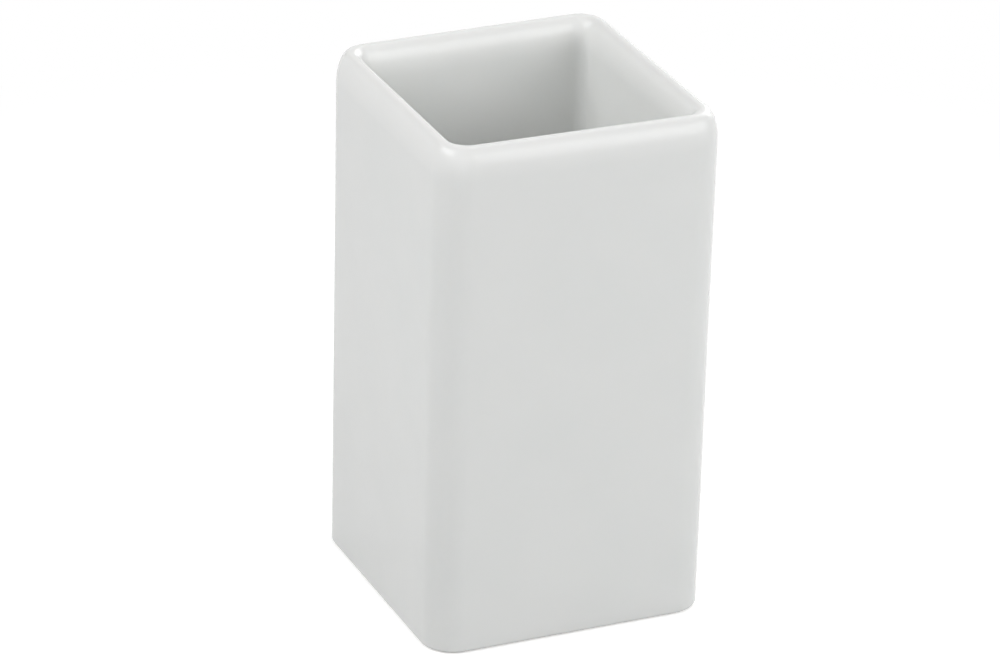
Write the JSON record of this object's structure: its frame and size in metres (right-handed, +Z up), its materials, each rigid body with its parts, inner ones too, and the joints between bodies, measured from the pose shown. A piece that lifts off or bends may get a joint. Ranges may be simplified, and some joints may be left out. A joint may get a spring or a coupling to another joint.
{
  "type": "toothpick holder",
  "caption": "Tall square toothpick holder in white glazed porcelain: straight-walled cup with a soft rounded rim, closed floor and bare foot ring, open at the top for standing picks.",
  "frame": {"origin": "middle of the plane that the foot ring stands on", "axes": "+Z up to the open rim, +X and +Y square to the side faces"},
  "size_m": [0.033, 0.033, 0.06],
  "materials": {
    "porcelain": "bare fired porcelain, fine and matt",
    "glaze": "white porcelain under a smooth clear glaze"
  },
  "bodies": {
    "root": {"porcelain_body": "porcelain", "glaze_coat": "glaze", "base_glaze": "glaze"}
  },
  "joints": []
}
